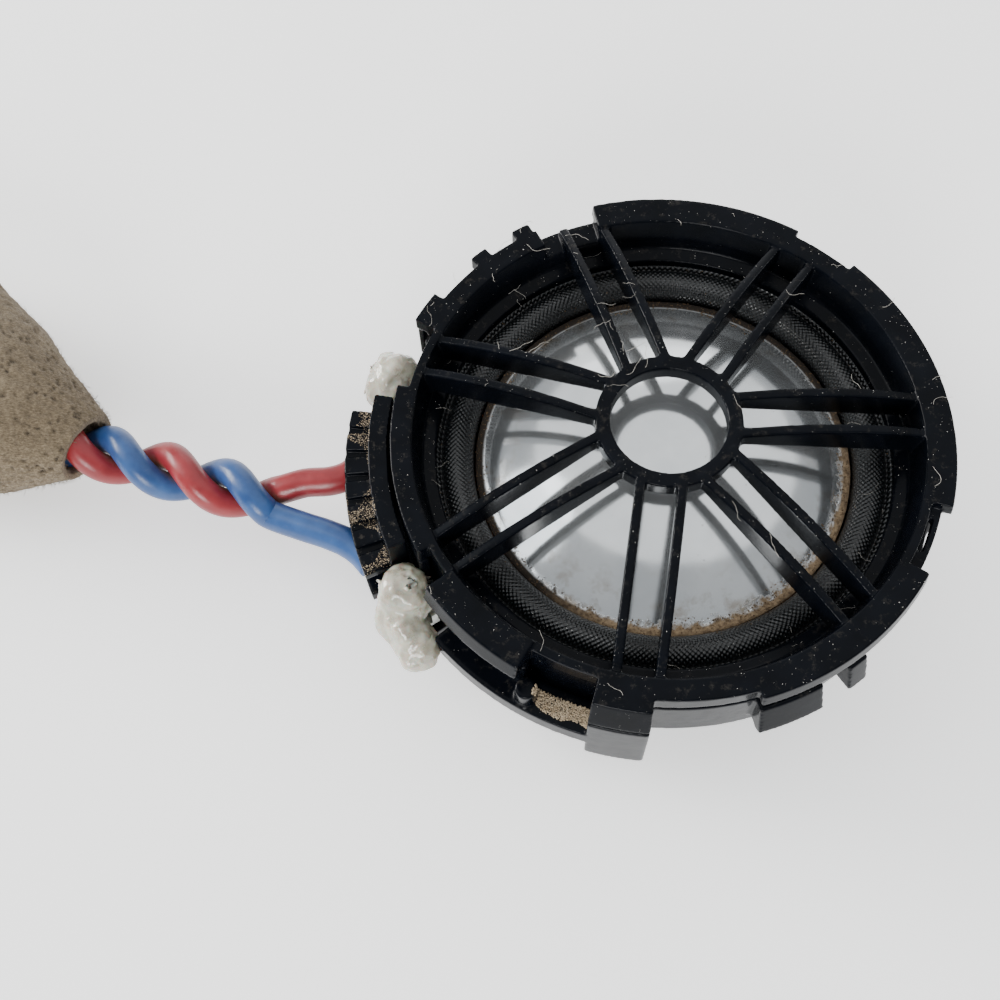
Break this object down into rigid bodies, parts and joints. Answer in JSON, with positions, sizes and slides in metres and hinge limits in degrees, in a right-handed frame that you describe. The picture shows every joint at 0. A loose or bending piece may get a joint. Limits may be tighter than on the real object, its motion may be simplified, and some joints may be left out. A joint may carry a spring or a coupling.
{
  "type": "car tweeter",
  "caption": "Dome tweeter in a bayonet-mount plastic frame with a spoked grille, a glued-in twisted two-wire lead, a felt wrap and a plug.",
  "frame": {"origin": "centre of the flat rear face of the motor, on the dome's axis", "axes": "+Z along the dome's axis towards the listener, +X along the first pair of spokes, the lead leaves towards -X"},
  "size_m": [0.117, 0.0543, 0.016],
  "materials": {
    "frame_plastic": "moulded gloss black with fine dust",
    "dome_metal": "polished thin metal, slightly stained",
    "surround_textile": "coated woven textile",
    "inner_plastic": "satin moulded",
    "former_film": "polyimide film",
    "copper": "lacquered winding wire",
    "damping_felt": "dense felt",
    "motor_steel": "zinc plated",
    "magnet_plating": "nickel plated",
    "tinned_metal": "tinned",
    "glue": "translucent hot-melt glue",
    "red_pvc": "satin insulation with dirt",
    "blue_pvc": "satin insulation with dirt",
    "wrap_felt": "beige-brown felt"
  },
  "bodies": {
    "housing": {"front_grille": "frame_plastic", "rear_housing": "frame_plastic", "wire_clamp": "frame_plastic", "surround": "surround_textile", "surround_frame": "inner_plastic", "damping_felt": "damping_felt", "pole_plate": "motor_steel", "magnet": "magnet_plating", "yoke_cup": "motor_steel", "terminal_positive": "tinned_metal", "terminal_negative": "tinned_metal", "solder_positive": "tinned_metal", "solder_negative": "tinned_metal", "coil_lead_positive": "copper", "coil_lead_negative": "copper", "glue_positive": "glue", "glue_negative": "glue", "wire_red": "red_pvc", "wire_blue": "blue_pvc", "felt_wrap": "wrap_felt", "connector_housing": "inner_plastic", "contact_positive": "tinned_metal", "contact_negative": "tinned_metal"},
    "dome": {"dome_diaphragm": "dome_metal", "voice_coil_former": "former_film", "voice_coil": "copper"}
  },
  "joints": [
    {"name": "dome_travel", "type": "slide", "parent": "housing", "child": "dome", "axis": [0, 0, 1], "range_m": [-0.0003, 0.0003], "stiffness_N_per_m": 200, "deforming": ["surround"]}
  ]
}
